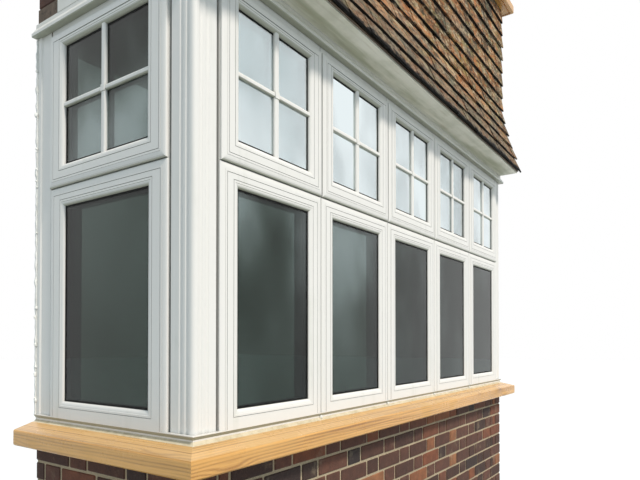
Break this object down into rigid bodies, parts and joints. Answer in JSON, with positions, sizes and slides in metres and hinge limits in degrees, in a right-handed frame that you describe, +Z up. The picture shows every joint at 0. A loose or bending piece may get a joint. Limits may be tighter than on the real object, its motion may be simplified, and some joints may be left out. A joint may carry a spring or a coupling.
{
  "type": "bay window",
  "caption": "Square box bay window: brick dwarf wall, timber sills, white moulded frames with glazed lights and top-hung sashes, and a tile-hung apron with a bell-cast foot.",
  "frame": {"origin": "on the ground, at the middle of the bay's whole footprint", "axes": "+X to the right seen from the street, +Y into the house, +Z up"},
  "size_m": [3.264, 1.075, 4.057],
  "materials": {
    "brick": "matte",
    "golden_timber": "satin",
    "white_paint": "satin",
    "window_glass": "gloss",
    "raw_timber": "matte",
    "soffit_paint": "matte",
    "plaster": "matte",
    "clay_tile": "matte"
  },
  "bodies": {
    "root": {"dwarf_wall_front": "brick", "dwarf_wall_left": "brick", "dwarf_wall_right": "brick", "timber_sill_front": "golden_timber", "timber_sill_left": "golden_timber", "timber_sill_right": "golden_timber", "base_strip_front": "white_paint", "base_strip_sides": "white_paint", "window_board_front": "white_paint", "window_board_sides": "white_paint", "corner_post_left": "white_paint", "corner_post_right": "white_paint", "wall_trim_left": "white_paint", "wall_trim_right": "white_paint", "front_frame_1": "white_paint", "front_frame_2": "white_paint", "front_frame_3": "white_paint", "front_frame_4": "white_paint", "front_frame_5": "white_paint", "left_frame": "white_paint", "right_frame": "white_paint", "front_sash_1": "white_paint", "front_sash_2": "white_paint", "front_sash_3": "white_paint", "front_sash_4": "white_paint", "front_sash_5": "white_paint", "left_sash": "white_paint", "right_sash": "white_paint", "lower_glass": "window_glass", "upper_glass": "window_glass", "head_beam_front": "raw_timber", "head_beam_sides": "raw_timber", "bed_mould_front": "white_paint", "bed_mould_sides": "white_paint", "soffit_board": "soffit_paint", "bay_ceiling": "plaster", "apron_wall": "brick", "cheek_wall_left": "brick", "cheek_wall_right": "brick", "tile_apron": "clay_tile", "bellcast_ends": "clay_tile", "upper_sill_front": "golden_timber", "upper_sill_left": "golden_timber", "upper_sill_right": "golden_timber"}
  },
  "joints": []
}
